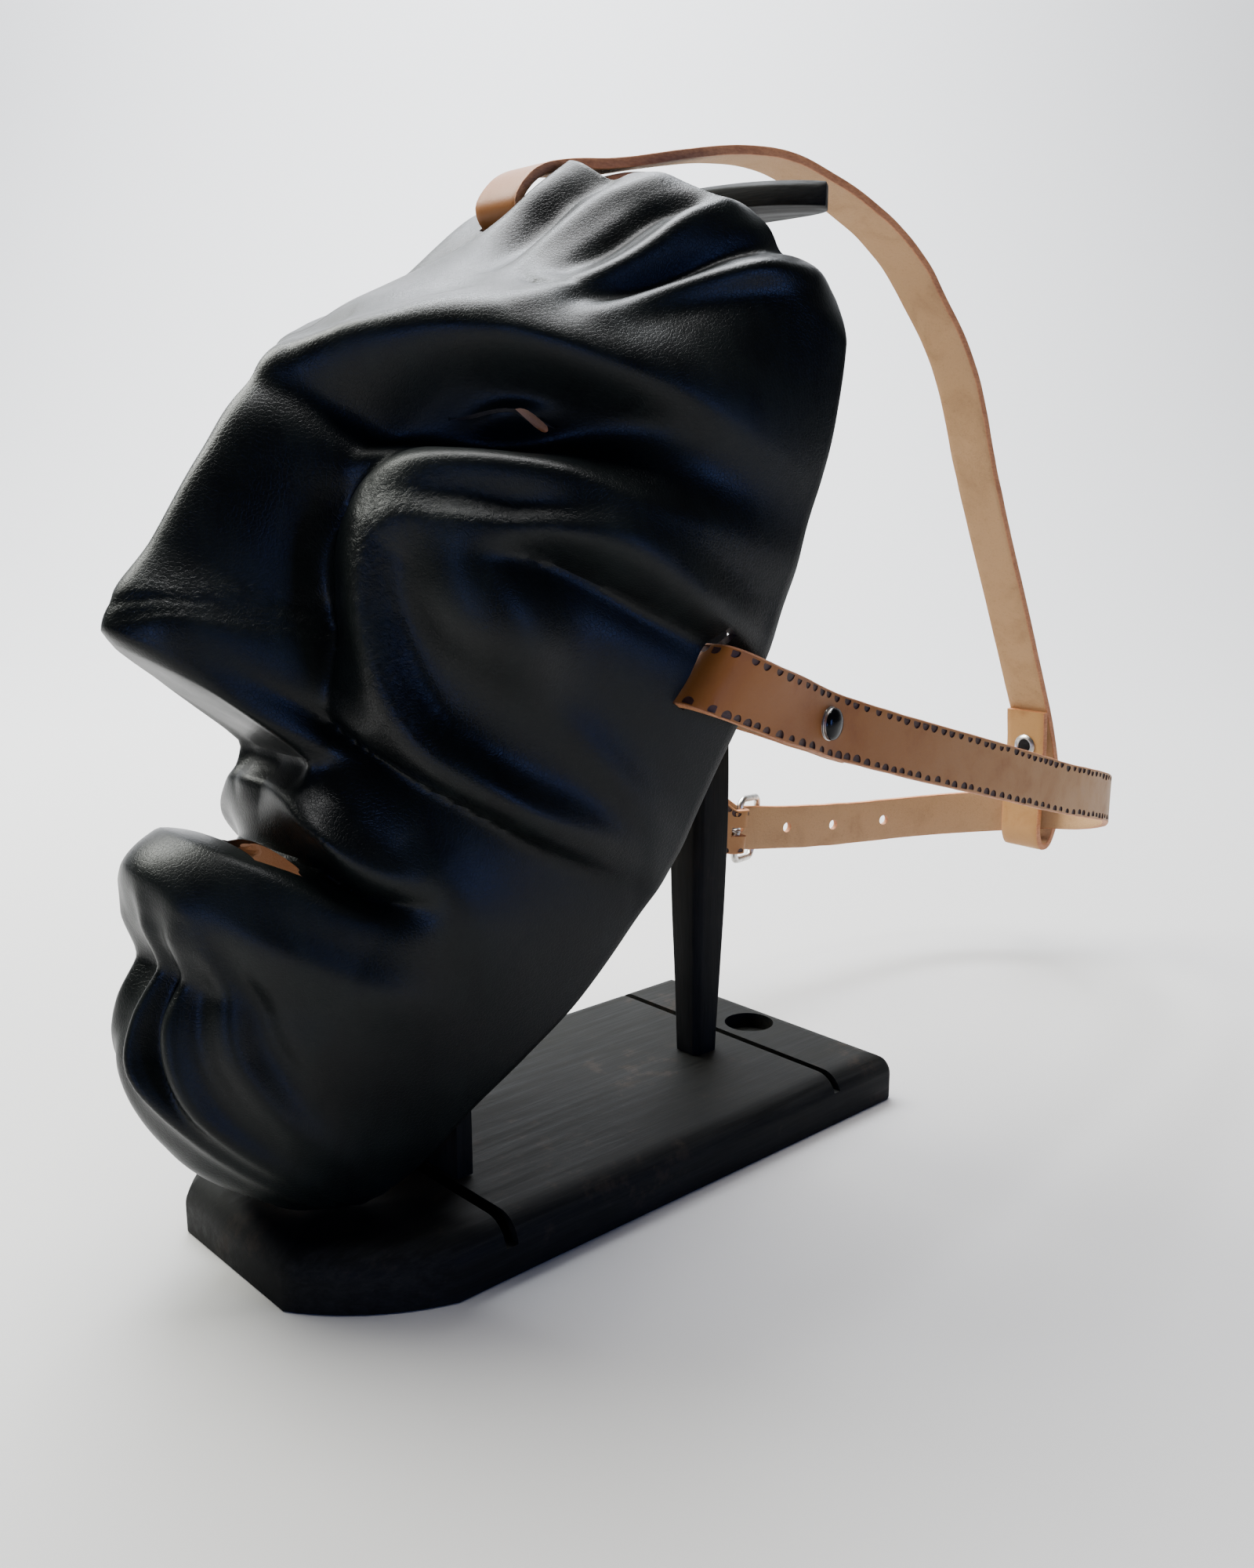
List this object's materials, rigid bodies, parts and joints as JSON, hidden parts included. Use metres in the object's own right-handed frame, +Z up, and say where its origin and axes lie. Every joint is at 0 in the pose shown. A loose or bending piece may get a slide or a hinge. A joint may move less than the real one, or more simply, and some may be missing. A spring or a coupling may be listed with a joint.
{
  "type": "leather carnival mask on a stand",
  "caption": "Moulded black leather full-face mask with a hooked nose and deep folds, on natural leather head straps, leaning on a black wooden stand with a post and crosspiece.",
  "frame": {"origin": "middle of the board's underside", "axes": "the face looks along -Y, the head straps reach out along +Y, +Z is up, +X is the side whose strap has no buckle"},
  "size_m": [0.1819, 0.4679, 0.3386],
  "materials": {
    "mask_leather": "black dyed, soft sheen, grained in places, natural tan on the inside",
    "strap_leather": "natural vegetable tan, stamped along the edges",
    "stand_wood": "black stained, rubbed at the edges",
    "silver_metal": "nickel plated, dull",
    "black_cap": "black enamel, glossy"
  },
  "bodies": {
    "root": {"base_board": "stand_wood", "rear_post": "stand_wood", "top_crosspiece": "stand_wood", "chin_rest": "stand_wood", "mask": "mask_leather", "head_strap": "strap_leather", "top_strap": "strap_leather", "buckle_strap": "strap_leather", "buckle_frame": "silver_metal", "buckle_prong": "silver_metal", "near_snap": "black_cap", "far_snap": "black_cap", "rear_snap": "silver_metal"}
  },
  "joints": []
}
